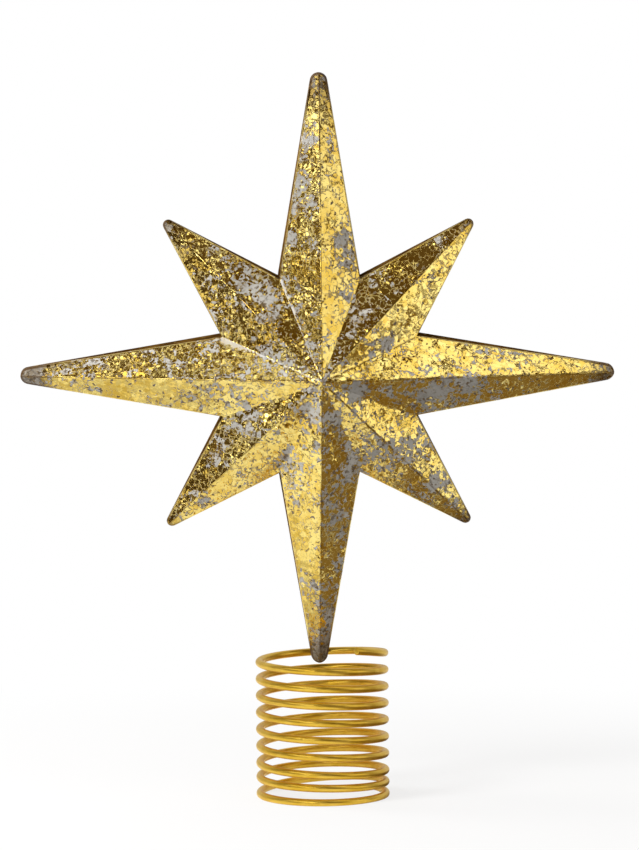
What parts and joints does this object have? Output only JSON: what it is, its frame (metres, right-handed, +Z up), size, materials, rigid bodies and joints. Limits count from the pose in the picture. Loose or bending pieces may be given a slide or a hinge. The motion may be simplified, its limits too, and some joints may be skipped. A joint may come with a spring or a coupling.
{
  "type": "christmas tree topper star",
  "caption": "Faceted pressed-metal star in worn antique gold leaf, soldered to a springy coil of gilt wire that grips the top shoot of a tree or stands on a shelf.",
  "frame": {"origin": "middle of the coil's foot, on the surface that it stands on", "axes": "+Z up along the coil's axis, the star's face looks towards -Y, +X to the right as seen from the front"},
  "size_m": [0.2032, 0.0462, 0.2436],
  "materials": {
    "gold_leaf": "worn gold leaf over warm grey paint",
    "gilt_wire": "satin gilt",
    "solder": "dull, toned down with gilt paint"
  },
  "bodies": {
    "coil": {"coil_spring": "gilt_wire"},
    "star": {"star_shell": "gold_leaf", "solder_joint": "solder"}
  },
  "joints": [
    {"name": "coil_flex", "type": "slide", "parent": "coil", "child": "star", "axis": [0, 0, 1], "range_m": [-0.01, 0.015], "stiffness_N_per_m": 690, "springref_m": 0.0015, "deforming": ["coil_spring"]}
  ]
}
